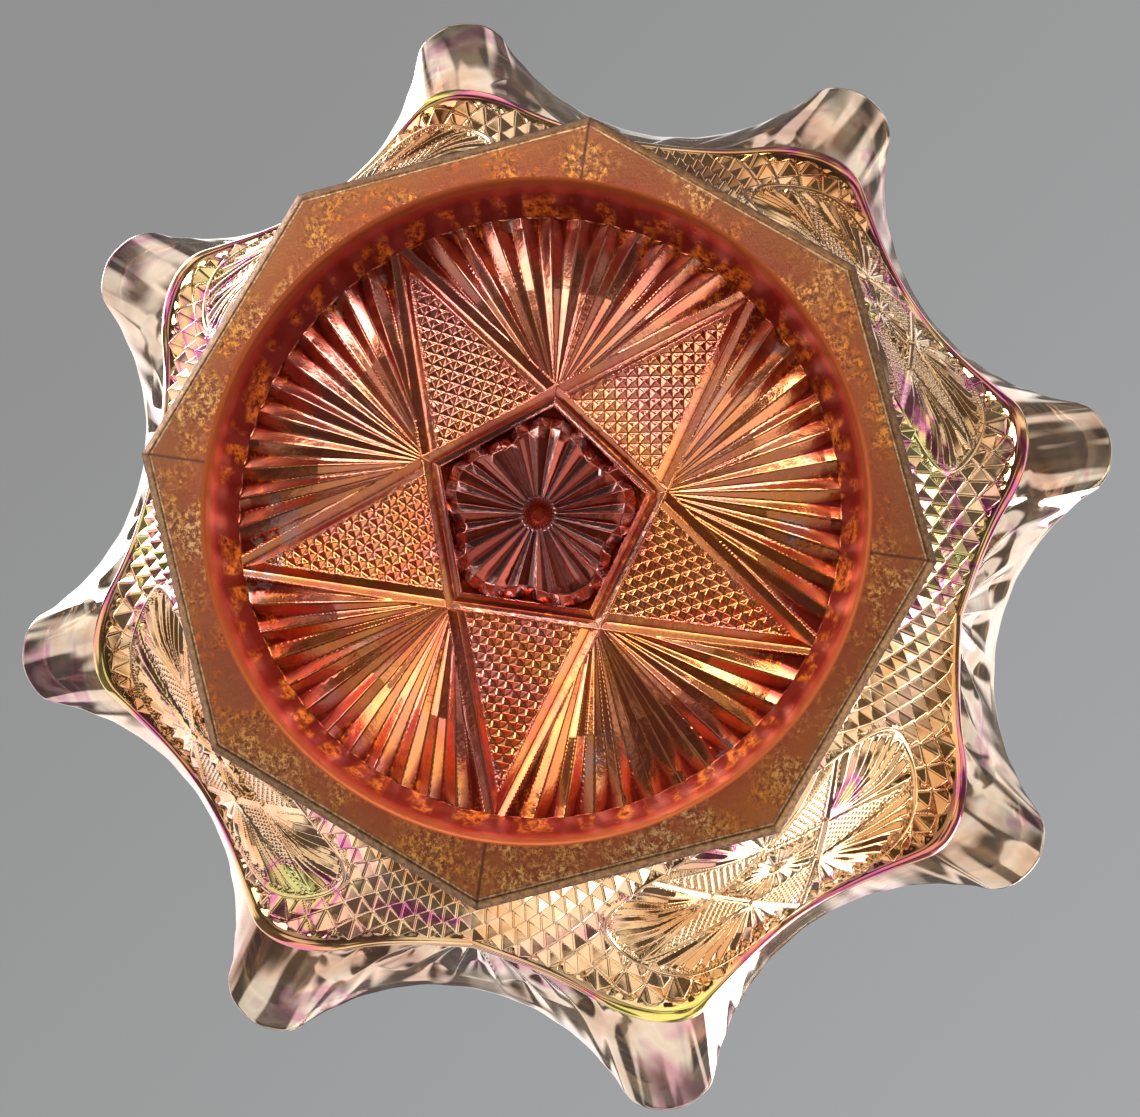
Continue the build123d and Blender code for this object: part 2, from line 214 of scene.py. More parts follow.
def star_relief(x, y, size, rays=11, petals=24, file_pitch=1.8):
    """Height of the star at x, y, with one of its corners towards +X.

    A pentagon holds a daisy. A fan of pointed rays spreads from each corner, and a
    three-cornered field of fine pyramids stands on each side of the pentagon.
    """
    step = TURN / STAR_POINTS
    corner = STAR_CORNER * size
    radius = np.hypot(x, y)
    azimuth = np.arctan2(y, x)
    turn = azimuth - np.round(azimuth / step) * step
    px, py = radius * np.cos(turn), np.abs(radius * np.sin(turn))

    # the fan: where a line from the corner through the point meets the star's circle
    dx, dy = px - corner, py
    reach = np.hypot(dx, dy) + 1e-9
    ux, uy = dx / reach, dy / reach
    dot = corner * ux
    whole = -dot + np.sqrt(np.maximum(dot ** 2 - corner ** 2 + size ** 2, 0))
    hit = np.arctan2(whole * uy, corner + whole * ux)
    fan_edge = step / 2 * FAN_SHARE
    pitch = 2 * fan_edge / rays
    slot = (hit + fan_edge) / pitch
    number = np.floor(slot)
    along = reach / whole
    tip = np.where(number % 2 == 0, *RAY_TIPS)
    taper = np.clip((tip - along) / (tip - RAY_TAPER), 0, 1)
    half_width = along * pitch * size * 0.5
    unevenness = 1 + 0.12 * np.sin(number * 2.4 + 4.0 * azimuth)
    slope = (0.78 - 0.30 * along) * unevenness
    crest = np.minimum(half_width * slope, RAY_CREST * size)
    gap = -RAY_GAP * size * smooth_step(0.5, 0.9, along)
    ray = np.where(hit < fan_edge, np.maximum(crest * (taper - off_middle(slot)), gap), gap)

    # the straight bar from the corner to the star's outer point
    point_x, point_y = size * math.cos(step / 2), size * math.sin(step / 2)
    bar_x, bar_y = point_x - corner, point_y
    bar_length = math.hypot(bar_x, bar_y)
    off_bar = (dx * bar_y - dy * bar_x) / bar_length
    groove_half = GROOVE_HALF * size
    bar = -BAR_DEPTH * size * (1 - np.clip(np.abs(off_bar) / groove_half, 0, 1))

    # the file: pyramids between grooves laid askew to the field's middle line
    half = step / 2
    fx = radius * np.cos(from_side(turn, half))
    fy = radius * np.sin(from_side(turn, half))
    first = saw((fx + fy) / (file_pitch * math.sqrt(2)))
    second = saw((fx - fy) / (file_pitch * math.sqrt(2)))
    pyramids = file_pitch * FILE_RISE * np.minimum(first, second) - FILE_SINK * size

    # the pentagon's sides and the daisy in it
    off_side = fx - corner * math.cos(half)
    side = -SIDE_DEPTH * size * (1 - np.clip(np.abs(off_side) / groove_half, 0, 1))
    petal_end = size * (PETAL_REACH + PETAL_MORE * np.cos(turn) ** 8)
    petal_width = radius * math.pi / petals
    petal_taper = np.clip((petal_end - radius) / (PETAL_TAPER * size), 0, 1)
    petal_crest = np.minimum(petal_width * 0.8, PETAL_CREST * size)
    daisy = petal_crest * (petal_taper - off_middle(azimuth / TURN * petals))
    ground = -PETAL_GROUND * size
    daisy = np.where(radius < petal_end, np.maximum(daisy, ground), ground)
    on_button = 1 - smooth_step(BUTTON_REACH / 3 * size, BUTTON_REACH * size, radius)
    daisy = daisy - BUTTON_DEPTH * size * on_button

    in_pentagon = off_side < 0
    in_field = (off_bar < 0) & ~in_pentagon
    height = np.where(in_pentagon, daisy, np.where(in_field, pyramids, ray))
    near_bar = (np.abs(off_bar) < groove_half) & (dx * bar_x + dy * bar_y > 0) & ~in_pentagon
    height = np.where(near_bar, bar + GROOVE_EDGE * size, height)
    near_side = np.abs(off_side) < groove_half
    height = np.where(near_side, side + GROOVE_EDGE * size, height)
    outside = smooth_step(0.985 * size, size, radius)
    return height * (1 - outside)


# ---- relief of the wall ----
NET_ROUND = 88                 # diamonds of the net in one turn
NET_PITCH = 10.2               # from one diamond to the next above it, along the wall's slope
NET_CREST = 1.9                # rise of a diamond from its grooves
NET_FOOT = 0.45                # how far the net's grooves are sunk under the smooth wall
SLANT = math.hypot(1.0, (NOTCH_RADIUS - NECK_RADIUS) / RISE)
LINE_HALF, LINE_RISE = 0.8, 0.75   # half width and rise of the medallions' round line
STAR_FOOT = 0.45               # how far the medallions' star stands out of the smooth wall
NECK_PLAIN = 1.2               # plain band over the foot, and the pattern's run-in above it
CUSP_FLUTES = 7
FLUTE_SPREAD = 62.0            # degrees to each side of a cusp that its flutes take
FLUTE_REACH, FLUTE_STEP = 36.0, 7.0   # reach of the long flutes, and what the others lack
FLUTE_DEPTH = 1.3
FLUTE_START, FLUTE_END = 12.0, 9.0    # stretches in which a flute deepens and runs out
WAVE_DEPTH = 0.045             # of the waves that run lengthwise over the plain margin
WAVES = 9, 14                  # of each of the two trains of waves in one lobe
WAVE_SINK = 6                  # their middle lies this many depths under the smooth wall


def wall_relief(u, z, azimuth, radius, length):
    """Height of the pressed pattern on the outside of the wall."""
    quarter = u * MEDALLIONS - 1.5 * MEDALLIONS / LOBES
    off = (quarter - np.round(quarter)) / MEDALLIONS
    x = off * length
    y = (z - MEDALLION_HEIGHT) * SLANT
    reach = np.hypot(x, y)

    net_up = (z - FOOT_HEIGHT) * SLANT / NET_PITCH
    first = saw(NET_ROUND * u + net_up)
    second = saw(NET_ROUND * u - net_up)
    net = NET_CREST * np.minimum(first, second) - NET_FOOT

    star = star_relief(-y, x, MEDALLION_RADIUS - LINE_HALF, rays=9, file_pitch=1.15) + STAR_FOOT
    off_line = np.abs(reach - MEDALLION_RADIUS)
    line = LINE_RISE * (1 - np.clip(off_line / LINE_HALF, 0, 1) ** 2)
    height = np.where(reach < MEDALLION_RADIUS, star, net)
    height = np.where(off_line < LINE_HALF, line, height)
    height = height * smooth_step(FOOT_HEIGHT + NECK_PLAIN, FOOT_HEIGHT + 2 * NECK_PLAIN, z)

    under = under_arch(z, azimuth, radius)
    bead = RIDGE_STEP * (1 - np.abs(2 * under / RIDGE_WIDTH - 1) ** 3)
    blend = smooth_step(RIDGE_WIDTH - 0.3, RIDGE_WIDTH + 0.3, under)
    return np.where(under > 0, height * blend + bead.clip(0) * (1 - blend), 0)


def margin_relief(u, z, azimuth, radius, length):
    """Height of the flutes that fan out of each cusp over the plain margin."""
    quarter = u * MEDALLIONS - 0.5 * MEDALLIONS / LOBES
    off = (quarter - np.round(quarter)) / MEDALLIONS
    x = off * length
    y = (z - RIDGE_LOW) * SLANT + 2.0
    angle = np.arctan2(x, y)
    reach = np.hypot(x, y)
    spread = math.radians(FLUTE_SPREAD)
    slot = (angle / spread + 1) / 2 * CUSP_FLUTES
    end = FLUTE_REACH - FLUTE_STEP * (np.floor(slot) % 2)
    run_out = np.clip((end - reach) / FLUTE_END, 0, 1)
    depth = FLUTE_DEPTH * np.minimum(reach / FLUTE_START, 1) * run_out
    cut = np.where(np.abs(angle) < spread, -depth * (1 - off_middle(slot) ** 1.5), 0)
    lobe = TURN * LOBES * u
    waves = np.cos(WAVES[0] * lobe) + np.cos(WAVES[1] * lobe + 1.0)
    return cut - WAVE_DEPTH * (WAVE_SINK - waves)


# ---- meshes ----
def sheet_faces(rows, columns, offset):
    """Four-sided faces of a grid of points, row by row."""
    index = np.arange(rows * columns).reshape(rows, columns) + offset
    corners = (index[:-1, :-1], index[:-1, 1:], index[1:, 1:], index[1:, :-1])
    return np.stack(corners, axis=-1).reshape(-1, 4)


def build_mesh(name, points, faces, maps, normals):
    """A smooth mesh from points in millimetres, with its own map for baking."""
    mesh = bpy.data.meshes.new(name)
    mesh.vertices.add(len(points))
    mesh.vertices.foreach_set("co", (points * MM).astype(np.float32).ravel())
    mesh.loops.add(faces.size)
    mesh.loops.foreach_set("vertex_index", faces.astype(np.int32).ravel())
    mesh.polygons.add(len(faces))
    mesh.polygons.foreach_set("loop_start", np.arange(0, faces.size, 4, dtype=np.int32))
    mesh.update(calc_edges=True)
    layer = mesh.uv_layers.new(name="OFBake")
    layer.uv.foreach_set("vector", maps[faces.ravel()].astype(np.float32).ravel())
    mesh.polygons.foreach_set("use_smooth", np.ones(len(faces), dtype=bool))
    mesh.normals_split_custom_set_from_vertices(normals)
    piece = bpy.data.objects.new(name, mesh)
    bpy.context.scene.collection.objects.link(piece)
    return piece


def grid_normals(points):
    """Unit normals of a grid of points, from its own slopes."""
    across = np.gradient(points, axis=1)
    up = np.gradient(points, axis=0)
    normal = np.cross(across, up)
    return normal / (np.linalg.norm(normal, axis=2, keepdims=True) + 1e-12)


def grid_maps(rows, columns, low, high):
    """Places of a grid's points in the baking map, in a band from low to high."""
    across, up = np.meshgrid(np.linspace(0.01, 0.99, columns), np.linspace(low, high, rows))
    return np.stack((across, up), axis=-1).reshape(-1, 2)


def surface(u, z, relief=None, inset=0.0):
    """Points of the wall at u, z: its smooth form with a relief laid on it, square to it."""
    def smooth(u_at, z_at):
        x, y, azimuth, radius, length = outline(u_at, z_at, inset)
        return np.stack((x, y, z_at), axis=-1), azimuth, radius, length
    place, azimuth, radius, length = smooth(u, z)
    if relief is None:
        return place
    tiny_u, tiny_z = 1e-4, 0.05
    across = smooth(u + tiny_u, z)[0] - smooth(u - tiny_u, z)[0]
    up = smooth(u, z + tiny_z)[0] - smooth(u, z - tiny_z)[0]
    normal = np.cross(across, up)
    normal /= np.linalg.norm(normal, axis=-1, keepdims=True)
    return place + normal * relief(u, z, azimuth, radius, length)[..., None]


def sector_u(index, columns):
    """Positions round the outline in one quarter, from cusp to cusp."""
    start = 0.5 / LOBES + index / MEDALLIONS
    return np.linspace(start, start + 1.0 / MEDALLIONS, columns)


WALL_COLUMNS = int(420 * FINE)
WALL_ROWS = int(205 * FINE)
INSIDE_ROWS = int(24 * FINE)
MARGIN_ROWS = int(64 * FINE)
EDGE_ROWS = 12
EDGE_ROLL = 1.7                # height that the rim's rounded edge takes
EDGE_LIFT = 0.8 * EDGE_ROLL    # and how far it bulges over its two sides' ends

# the wall's rows in its baking map: the outside, its ridge and the inside
BOTH_ROWS = WALL_ROWS + INSIDE_ROWS
OUTSIDE_TOP, INSIDE_TOP = (WALL_ROWS - 0.5) / BOTH_ROWS, (WALL_ROWS + 0.5) / BOTH_ROWS
RIDGE_SHARE = OUTSIDE_TOP * (1 - RIDGE_WIDTH / (RIDGE_HIGH - FOOT_HEIGHT) / SLANT)


def wall_piece(index):
    """A quarter of the patterned wall, outside and inside."""
    u = sector_u(index, WALL_COLUMNS)
    top = ridge_line(u)
    share = np.linspace(0, 1, WALL_ROWS)[:, None]
    z = FOOT_HEIGHT + (top - FOOT_HEIGHT) * share
    outer = surface(np.broadcast_to(u, z.shape), z, wall_relief)
    share = np.linspace(0, 1, INSIDE_ROWS)[:, None]
    z_in = top + (FLOOR_HEIGHT - top) * share
    inner = surface(np.broadcast_to(u, z_in.shape), z_in, inset=WALL)
    return join_sheets(f"wall_quarter_{index + 1}", (outer, inner))


def margin_piece(index):
    """A quarter of the ruffled margin: outside, rounded edge and inside."""
    u = sector_u(index, WALL_COLUMNS)
    low, high, high_in = ridge_line(u), edge_line(u), edge_line(u, WALL)
    share = np.linspace(0, 1, MARGIN_ROWS)[:, None]
    z = low + (high - EDGE_ROLL - low) * share
    outer = surface(np.broadcast_to(u, z.shape), z, margin_relief)
    z_in = (high_in - EDGE_ROLL) + (low - high_in + EDGE_ROLL) * share
    inner = surface(np.broadcast_to(u, z_in.shape), z_in, inset=WALL)
    start, end = outer[-1], inner[0]
    middle, half = (start + end) / 2, (start - end) / 2
    rim_up = outer[-1] - outer[-3]
    rim_up /= np.linalg.norm(rim_up, axis=-1, keepdims=True)
    angle = np.linspace(0, math.pi, EDGE_ROWS)[1:-1, None, None]
    edge = middle + half * np.cos(angle) + rim_up * EDGE_LIFT * np.sin(angle)
    whole = np.concatenate((outer, edge, inner), axis=0)
    return join_sheets(f"margin_quarter_{index + 1}", (whole,))


def join_sheets(name, sheets):
    """One mesh from several grids that lie apart in its baking map."""
    points, faces, maps, normals = [], [], [], []
    total = sum(sheet.shape[0] for sheet in sheets)
    offset, used = 0, 0
    for sheet in sheets:
        rows, columns = sheet.shape[:2]
        points.append(sheet.reshape(-1, 3))
        normals.append(grid_normals(sheet).reshape(-1, 3))
        faces.append(sheet_faces(rows, columns, offset))
        low, high = (used + 0.5) / total, (used + rows - 0.5) / total
        maps.append(grid_maps(rows, columns, low, high))
        offset += rows * columns
        used += rows
    join = np.concatenate
    return build_mesh(name, join(points), join(faces), join(maps), join(normals))


# ---- base plate and foot ----
BASE_PITCH = 0.16 / FINE       # between the points of the base's mesh
STAR_SUNK = 0.45               # how far the star's ground is sunk into the base plate
HUB = 0.05                     # radius at which the base's meshes end round the axis
SHOULDER_ROUND = 0.4           # of the foot's upper edge
COVE = 0.6                     # of the recess wall, where it meets the base


def ring_points(radius, azimuth, z):
    """Points at one height, on rings round the axis."""
    x, y = radius * np.cos(azimuth), radius * np.sin(azimuth)
    return np.stack((x, y, np.full_like(x, z)), axis=-1)


def base_piece(index):
    """A fifth of the base plate: the cut star below and the smooth floor above."""
    step = TURN / STAR_POINTS
    start = math.radians(STAR_TURN) + (index - 0.5) * step
    columns = int(step * STAR_RADIUS * 0.62 / BASE_PITCH)
    rows = int(STAR_RADIUS / BASE_PITCH)
    radius = np.linspace(HUB, RECESS_FLOOR, rows)[:, None]
    azimuth = np.linspace(start, start + step, columns)[None, :]
    x, y = radius * np.cos(azimuth), radius * np.sin(azimuth)
    lean = -math.radians(STAR_TURN)
    sx, sy = x * math.cos(lean) - y * math.sin(lean), x * math.sin(lean) + y * math.cos(lean)
    z = RECESS_DEPTH + STAR_SUNK - star_relief(sx, sy, STAR_RADIUS)
    under = np.stack((x, y, z), axis=-1)[::-1]
    floor_radius = np.linspace(HUB, NECK_RADIUS - 2.4, 12)[:, None]
    over = ring_points(floor_radius, azimuth, FLOOR_HEIGHT)[::-1, ::-1]
    return join_sheets(f"star_base_{index + 1}", (under, over))


def foot_piece():
    """The octagonal foot: shoulder, leaning side, bevel and ground band."""
    azimuth = np.linspace(0, TURN, FOOT_SIDES * int(90 * FINE) + 1)
    side = TURN / FOOT_SIDES
    flat = 1 / np.cos(azimuth - np.round(azimuth / side) * side)
    inradius = FOOT_RADIUS * math.cos(side / 2)
    drawn_in = FOOT_HEIGHT * math.tan(math.radians(FOOT_DRAFT))
    lines = []

    def ring(reach, z, square):
        """Adds a closed line: the octagon's outline where square is 1, a circle where it is 0."""
        lines.append(ring_points(reach * (flat * square + (1 - square)), azimuth, z))

    seat, shoulder = NECK_RADIUS - SHOULDER_ROUND, inradius - drawn_in - 2 * SHOULDER_ROUND
    for share in np.linspace(0, 1, 8):
        ring(seat + (shoulder - seat) * share, FOOT_HEIGHT, share)
    top = FOOT_HEIGHT - SHOULDER_ROUND
    for share in np.linspace(0, 1, 14):
        z = top - (top - FOOT_BEVEL) * share
        ring(inradius - drawn_in * z / FOOT_HEIGHT, z, 1.0)
    for share in np.linspace(0.15, 1, 5):
        ring(inradius - FOOT_BEVEL * share, FOOT_BEVEL * (1 - share), 1.0)
    outer, inner = inradius - FOOT_BEVEL, RECESS_MOUTH + MOUTH_ROUND
    for share in np.linspace(0.02, 1, int(46 * FINE)):
        ring(outer + (inner - outer) * share, 0.0, 1.0 - share)
    return join_sheets("foot_glass", (np.stack(lines, axis=0),))


def recess_piece():
    """The recess inside the foot: its rounded mouth, leaning wall and cove."""
    azimuth = np.linspace(0, TURN, FOOT_SIDES * int(60 * FINE) + 1)
    lines = []
    for turn in np.linspace(0, math.pi / 2, 9):
        radius = RECESS_MOUTH + MOUTH_ROUND * (1 - math.sin(turn))
        lines.append(ring_points(radius, azimuth, MOUTH_ROUND * (1 - math.cos(turn))))
    for share in np.linspace(0.08, 1, 16):
        z = MOUTH_ROUND + (RECESS_DEPTH - 1.0 - MOUTH_ROUND) * share
        lines.append(ring_points(RECESS_MOUTH - z * RECESS_SLOPE - COVE * share ** 6, azimuth, z))
    lines.append(ring_points(RECESS_FLOOR - 2 * COVE, azimuth, RECESS_DEPTH + STAR_SUNK))
    return join_sheets("recess_wall", (np.stack(lines, axis=0),))


# ---- materials ----
GLASS_IOR, FILM_IOR = 1.52, 1.7
SEAM_TURN = 22.5               # azimuth in degrees of the first of two mould seams across the foot


class Nodes:
    """Short ways to add nodes to one tree. Places and lengths in it are metres."""

    def __init__(self, tree):
        self.tree = tree

    def add(self, kind, **settings):
        node = self.tree.nodes.new(kind)
        for key, value in settings.items():
            setattr(node, key, value)
        return node

    def link(self, source, target):
        self.tree.links.new(source, target)

    def place(self):
        return self.add("ShaderNodeTexCoord").outputs["Object"]

    def noise(self, scale, detail=3.0, rough=0.5, distortion=0.0, source=None):
        node = self.add("ShaderNodeTexNoise")
        node.inputs["Scale"].default_value = scale
        node.inputs["Detail"].default_value = detail
        node.inputs["Roughness"].default_value = rough
        node.inputs["Distortion"].default_value = distortion
        self.link(source or self.place(), node.inputs["Vector"])
        return node.outputs["Fac"]

    def ramp(self, factor, stops):
        node = self.add("ShaderNodeValToRGB")
        elements = node.color_ramp.elements
        while len(elements) < len(stops):
            elements.new(0.5)
        for element, (position, colour) in zip(elements, stops):
            element.position = position
            element.color = (*colour, 1.0)
        self.link(factor, node.inputs["Fac"])
        return node.outputs["Color"]

    def mix(self, factor, a, b, blend="MIX"):
        node = self.add("ShaderNodeMix", data_type="RGBA", blend_type=blend)
        for socket, value in ((node.inputs[0], factor), (node.inputs[6], a), (node.inputs[7], b)):
            if isinstance(value, (int, float)):
                socket.default_value = value
            elif isinstance(value, tuple):
                socket.default_value = (*value, 1.0)
            else:
                self.link(value, socket)
        return node.outputs[2]

    def math(self, operation, a, b=0.0, c=0.0):
        node = self.add("ShaderNodeMath", operation=operation)
        for socket, value in zip(node.inputs, (a, b, c)):
            if isinstance(value, (int, float)):
                socket.default_value = value
            else:
                self.link(value, socket)
        return node.outputs[0]

    def coordinate(self, letter, source=None):
        """The X, Y or Z of the bowl's own place, or of another source."""
        split = self.add("ShaderNodeSeparateXYZ")
        self.link(source or self.place(), split.inputs[0])
        return split.outputs[letter]

    def between(self, value, low, high, to=(0.0, 1.0)):
        """value brought to 0 at low and 1 at high, or to another two levels."""
        node = self.add("ShaderNodeMapRange")
        ends = {"From Min": low, "From Max": high, "To Min": to[0], "To Max": to[1]}
        for socket, level in ends.items():
            node.inputs[socket].default_value = level
        self.link(value, node.inputs["Value"])
        return node.outputs["Result"]

    def times(self, a, b):
        return self.math("MULTIPLY", a, b)

    def reach(self):
        """Distance from the bowl's axis."""
        x, y = self.coordinate("X"), self.coordinate("Y")
        return self.math("SQRT", self.math("ADD", self.times(x, x), self.times(y, y)))

    def off_line(self, azimuth):
        """Distance from the upright plane through the axis at an azimuth in degrees."""
        angle = math.radians(azimuth)
        across = self.times(self.coordinate("X"), -math.sin(angle))
        signed = self.math("MULTIPLY_ADD", self.coordinate("Y"), math.cos(angle), across)
        return self.math("ABSOLUTE", signed)

    def flat_reach(self):
        """Distance from the axis, measured square to the foot's nearest side."""
        furthest = self.off_line(0.0)
        for number in range(1, FOOT_SIDES // 2):
            furthest = self.math("MAXIMUM", furthest, self.off_line(number * 360.0 / FOOT_SIDES))
        return furthest

    def up_the_sheet(self):
        """Place along a piece's rows of points, from 0 at its first row to 1 at its last."""
        return self.coordinate("Y", self.add("ShaderNodeUVMap", uv_map="OFBake").outputs[0])

    def finish(self, output, factor, first, second):
        """Gives the tree's output the first surface, or the second where factor is 1."""
        mix = self.add("ShaderNodeMixShader")
        for socket, source in zip(mix.inputs, (factor, first, second)):
            self.link(source, socket)
        self.link(mix.outputs[0], self.tree.nodes[output].inputs["Surface"])


class Look(Nodes):
    """The nodes of one material of the glass."""

    def __init__(self, name):
        self.material = bpy.data.materials.new(name)
        self.material.use_nodes = True
        super().__init__(self.material.node_tree)
        self.shader = self.tree.nodes["Principled BSDF"]

    def bump(self, height, strength, distance):
        node = self.add("ShaderNodeBump")
        node.inputs["Strength"].default_value = strength
        node.inputs["Distance"].default_value = distance
        self.link(height, node.inputs["Height"])
        self.link(node.outputs["Normal"], self.shader.inputs["Normal"])

    def glass(self, colour, metal, rough, transmission=1.0, film=380.0):
        """Glass under a metallic lustre. film is the thickness of its clear skin in nanometres."""
        sockets = {
            "Base Color": colour, "Metallic": metal, "Roughness": rough,
            "Transmission Weight": transmission, "IOR": GLASS_IOR,
            "Thin Film Thickness": film, "Thin Film IOR": FILM_IOR,
        }
        for socket, value in sockets.items():
            if isinstance(value, (int, float)):
                self.shader.inputs[socket].default_value = value
            else:
                self.link(value, self.shader.inputs[socket])


def star_glass():
    """Marigold lustre: orange to rosy cut facets, worn in patches, with painted shade that darkens the
    hollows and the daisy's middle to deep red.
    """
    m = Look("star_lustre")
    reach = m.reach()
    drift = m.noise(42.0, 2.0, 0.5, 1.2)
    facets = m.ramp(drift, [
        (0.34, (0.94, 0.26, 0.15)),
        (0.43, (0.96, 0.21, 0.04)),
        (0.52, (1.00, 0.34, 0.05)),
        (0.60, (0.94, 0.31, 0.08)),
        (0.68, (0.94, 0.22, 0.08)),
    ])
    aside = m.between(m.coordinate("X"), 0.000, 0.045)
    rosy = m.math("ADD", aside, m.math("MULTIPLY_ADD", drift, 1.6, -0.8))
    facets = m.mix(m.times(m.between(rosy, 0.0, 1.0), 0.6), facets, (0.94, 0.34, 0.28))
    # the daisy's own deep red, with painted shade that darkens it towards the middle over the button's
    # hollow
    middle = m.ramp(m.between(reach, 0.0, 0.018), [
        (0.0, (0.16, 0.012, 0.004)),
        (0.35, (0.46, 0.055, 0.016)),
        (0.95, (0.50, 0.065, 0.014)),
    ])
    facets = m.mix(m.between(reach, 0.0155, 0.0175), middle, facets)
    # painted shade: where the base is sunk deepest, the hollows get a dark red, broken by orange
    # lustre flecks in patches
    embers = m.between(m.noise(700.0, 4.0, 0.8), 0.50, 0.58)
    patches = m.between(m.noise(95.0, 2.0, 0.5), 0.46, 0.58)
    hollow_shade_and_flecks = m.mix(m.times(embers, patches), (0.34, 0.026, 0.006), (1.0, 0.24, 0.015))
    deep = m.between(m.coordinate("Z"), 0.0106, 0.0112)
    colour = m.mix(deep, facets, hollow_shade_and_flecks)
    worn = m.times(m.between(m.noise(70.0, 5.0, 0.75), 0.60, 0.63), m.between(reach, 0.034, 0.040))
    colour = m.mix(m.times(worn, 0.7), colour, (0.66, 0.38, 0.30))
    metal = m.math("MULTIPLY_ADD", deep, 0.30, 0.62)
    rough = m.math("MULTIPLY_ADD", deep, 0.22, 0.14)
    m.glass(colour, metal, rough, film=260.0)
    m.shader.inputs["Coat Weight"].default_value = 0.3
    m.bump(m.noise(420.0, 3.0, 0.6), 0.12, 0.0005)
    return m.material


def foot_glass():
    """Rosy brown lustre, crimson towards the recess, with torn gold flecks on the resting band, and
    painted highlight and shade lines along the bevel.
    """
    m = Look("foot_lustre")
    wander = m.times(m.math("SUBTRACT", m.noise(120.0, 4.0, 0.65), 0.5), 0.5)
    place = m.math("ADD", m.between(m.reach(), 0.0505, 0.062), wander)
    band = m.ramp(place, [
        (0.0, (0.54, 0.05, 0.022)),
        (0.12, (0.52, 0.10, 0.022)),
        (0.40, (0.54, 0.145, 0.025)),
        (0.80, (0.56, 0.18, 0.040)),
    ])
    grain = m.noise(1000.0, 6.0, 0.85)
    torn = m.between(m.noise(85.0, 4.0, 0.7), 0.44, 0.56)
    tone = m.ramp(m.noise(42.0, 2.0, 0.5), [
        (0.38, (1.00, 0.20, 0.02)),
        (0.50, (1.00, 0.46, 0.09)),
        (0.62, (0.95, 0.62, 0.26)),
    ])
    bright = m.times(torn, m.between(grain, 0.50, 0.56))
    dark = m.times(torn, m.between(grain, 0.48, 0.42))
    clouds = m.between(m.noise(30.0, 2.0, 0.5), 0.40, 0.62)
    colour = m.mix(clouds, m.mix(0.45, band, (0.30, 0.045, 0.010)), band)
    colour = m.mix(bright, colour, tone)
    colour = m.mix(m.times(dark, 0.75), colour, (0.14, 0.030, 0.008))
    lip = m.flat_reach()
    # painted highlights and shade: bright lines along both edges of the bevel with dark lines beside
    # them at its creases, over the bevel's grainy gold lustre
    edge = m.ramp(m.between(lip, 0.0550, 0.0575), [
        (0.12, (0.40, 0.16, 0.06)),
        (0.18, (1.00, 0.74, 0.46)),
        (0.28, (0.26, 0.09, 0.03)),
        (0.46, (0.48, 0.26, 0.09)),
        (0.74, (0.42, 0.20, 0.08)),
        (0.84, (0.16, 0.05, 0.03)),
        (0.92, (0.86, 0.60, 0.42)),
    ])
    grainy = m.mix(m.between(grain, 0.46, 0.56), (0.35, 0.22, 0.12), (1.0, 0.95, 0.85))
    edge = m.mix(0.8, edge, grainy, "MULTIPLY")
    on_lip = m.between(lip, 0.0551, 0.0554)
    colour = m.mix(on_lip, colour, edge)
    seam = m.math("MINIMUM", m.off_line(SEAM_TURN), m.off_line(SEAM_TURN + 90.0))
    seam = m.math("ADD", seam, m.times(wander, 0.0006))
    on_seam = m.between(seam, 0.00035, 0.00012)
    colour = m.mix(m.times(on_seam, 0.8), colour, (0.10, 0.020, 0.010))
    metal = m.math("MAXIMUM", m.between(bright, -0.9, 1.0), m.times(on_lip, 0.92))
    m.glass(colour, metal, 0.36, transmission=0.5, film=260.0)
    m.bump(grain, 0.45, 0.0003)
    return m.material


def recess_glass():
    """The recess wall: brown at its mouth, a soft crimson line, then dark red glass that painted shade
    darkens further towards the base, streaked with orange.
    """
    m = Look("recess_lustre")
    mottle = m.noise(160.0, 4.0, 0.65)
    wander = m.times(m.math("SUBTRACT", mottle, 0.5), 0.5)
    # brown and crimson are the glass's own colours; the dark red beyond them is its colour too,
    # darkened deeper into the recess as painted shade
    depth = m.ramp(m.math("ADD", m.between(m.coordinate("Z"), 0.0, 0.0104), wander), [
        (0.0, (0.54, 0.13, 0.030)),
        (0.16, (0.54, 0.10, 0.030)),
        (0.28, (0.60, 0.050, 0.034)),
        (0.44, (0.32, 0.018, 0.009)),
        (1.0, (0.22, 0.012, 0.003)),
    ])
    upright = m.add("ShaderNodeMapping")
    upright.inputs["Scale"].default_value = (1.0, 1.0, 0.06)
    m.link(m.place(), upright.inputs["Vector"])
    streaks = m.between(m.noise(330.0, 2.0, 0.5, source=upright.outputs[0]), 0.48, 0.60)
    streaks = m.times(streaks, m.between(m.coordinate("Z"), 0.0036, 0.0065))
    flecks = m.between(m.noise(700.0, 4.0, 0.8), 0.42, 0.56)
    colour = m.mix(m.times(streaks, flecks), depth, (0.98, 0.28, 0.03))
    m.glass(colour, 0.35, 0.45, transmission=0.0, film=0.0)
    m.shader.inputs["Specular IOR Level"].default_value = 0.3
    m.bump(mottle, 0.3, 0.0006)
    return m.material


